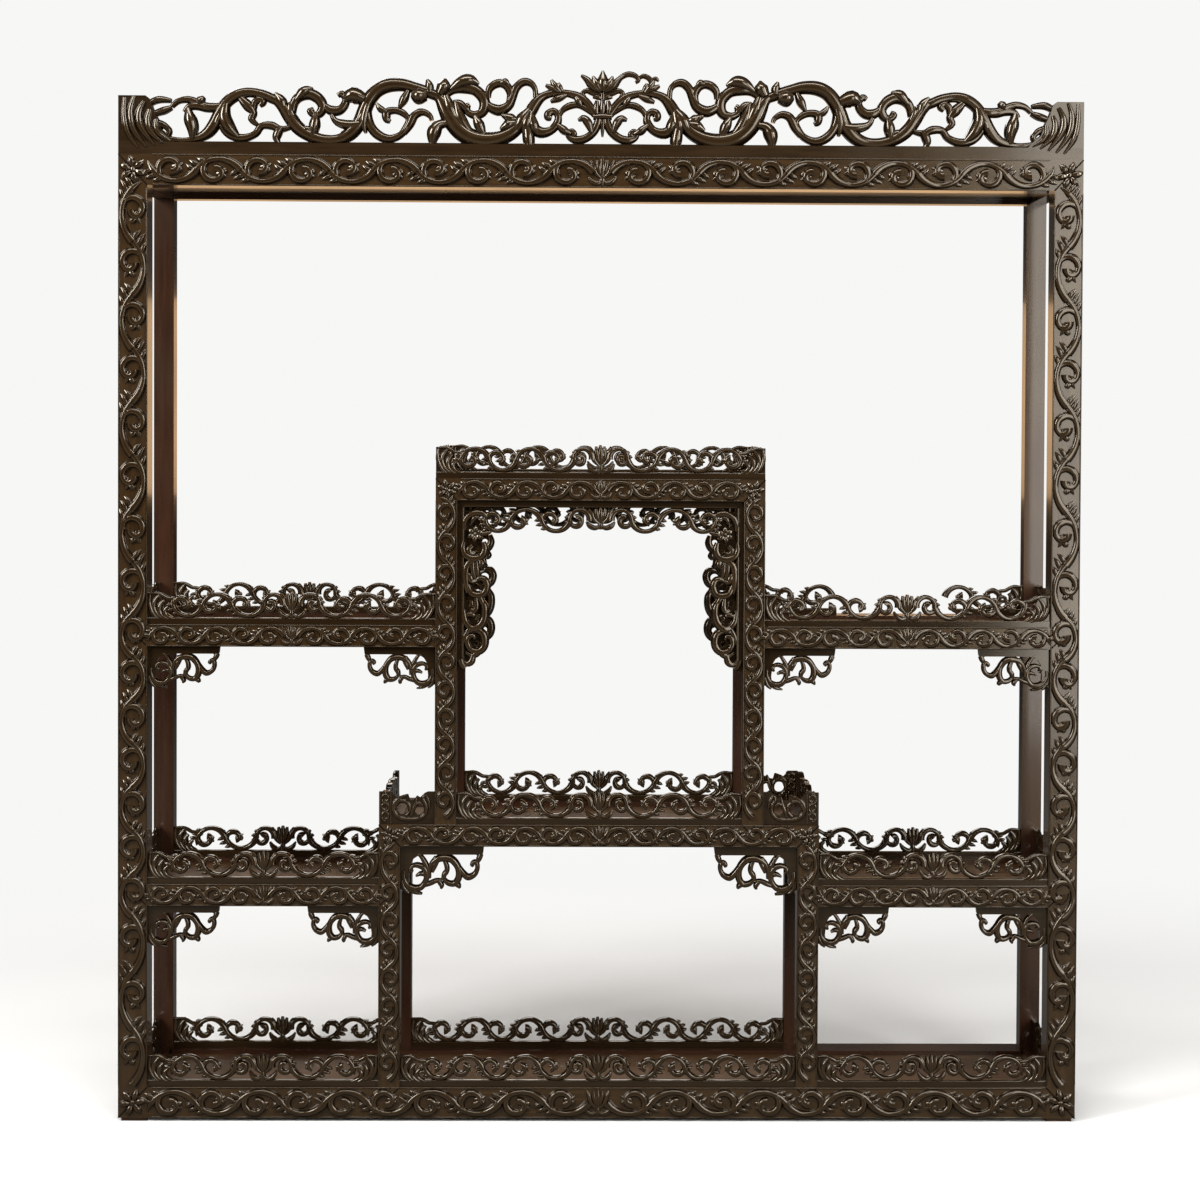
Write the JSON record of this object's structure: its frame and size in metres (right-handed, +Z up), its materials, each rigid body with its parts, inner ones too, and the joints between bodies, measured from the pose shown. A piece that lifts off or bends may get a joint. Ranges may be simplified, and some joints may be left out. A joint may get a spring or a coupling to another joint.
{
  "type": "wall curio cabinet",
  "caption": "Open wall curio cabinet in dark lacquered hardwood: mitred frame with carved crest, stepped shelves, raised niche, pierced scroll galleries, brackets and aprons.",
  "frame": {"origin": "On the plane of the feet's undersides, under the middle of the cabinet's width and depth", "axes": "+X to the viewer's right, -Y out of the front, +Y into the wall, +Z up"},
  "size_m": [0.9646, 0.18, 1.057],
  "materials": {
    "frame_wood": "satin lacquer",
    "fret_wood": "satin lacquer",
    "board_wood": "satin lacquer",
    "hanger_brass": "dull"
  },
  "bodies": {
    "root": {"bottom_back_galleries": "fret_wood", "bottom_back_rail": "frame_wood", "bottom_board": "board_wood", "bottom_front_galleries": "fret_wood", "bottom_front_rail": "frame_wood", "crest": "fret_wood", "crest_base": "frame_wood", "feet": "frame_wood", "frame_side_rails": "frame_wood", "hanger_plates": "hanger_brass", "hanger_screws": "hanger_brass", "left_back_post": "frame_wood", "left_front_stile": "frame_wood", "left_lower_back_post": "frame_wood", "left_lower_back_rail": "frame_wood", "left_lower_board": "board_wood", "left_lower_front_post": "frame_wood", "left_lower_front_rail": "frame_wood", "left_niche_back_post": "frame_wood", "left_niche_front_post": "frame_wood", "left_upper_back_rail": "frame_wood", "left_upper_board": "board_wood", "left_upper_front_rail": "frame_wood", "lower_back_galleries": "fret_wood", "lower_brackets": "fret_wood", "lower_front_galleries": "fret_wood", "niche_back_apron": "fret_wood", "niche_floor_galleries": "fret_wood", "niche_front_apron": "fret_wood", "niche_top_back_rail": "frame_wood", "niche_top_board": "board_wood", "niche_top_front_rail": "frame_wood", "niche_top_galleries": "fret_wood", "niche_top_side_rails": "frame_wood", "right_back_post": "frame_wood", "right_front_stile": "frame_wood", "right_lower_back_post": "frame_wood", "right_lower_back_rail": "frame_wood", "right_lower_board": "board_wood", "right_lower_front_post": "frame_wood", "right_lower_front_rail": "frame_wood", "right_niche_back_post": "frame_wood", "right_niche_front_post": "frame_wood", "right_upper_back_rail": "frame_wood", "right_upper_board": "board_wood", "right_upper_front_rail": "frame_wood", "shelf_side_galleries": "fret_wood", "shelf_side_rails": "frame_wood", "step_back_rail": "frame_wood", "step_board": "board_wood", "step_brackets": "fret_wood", "step_front_rail": "frame_wood", "step_galleries": "fret_wood", "step_side_rails": "frame_wood", "top_back_rail": "frame_wood", "top_board": "board_wood", "top_front_rail": "frame_wood", "upper_back_galleries": "fret_wood", "upper_brackets": "fret_wood", "upper_front_galleries": "fret_wood"}
  },
  "joints": []
}
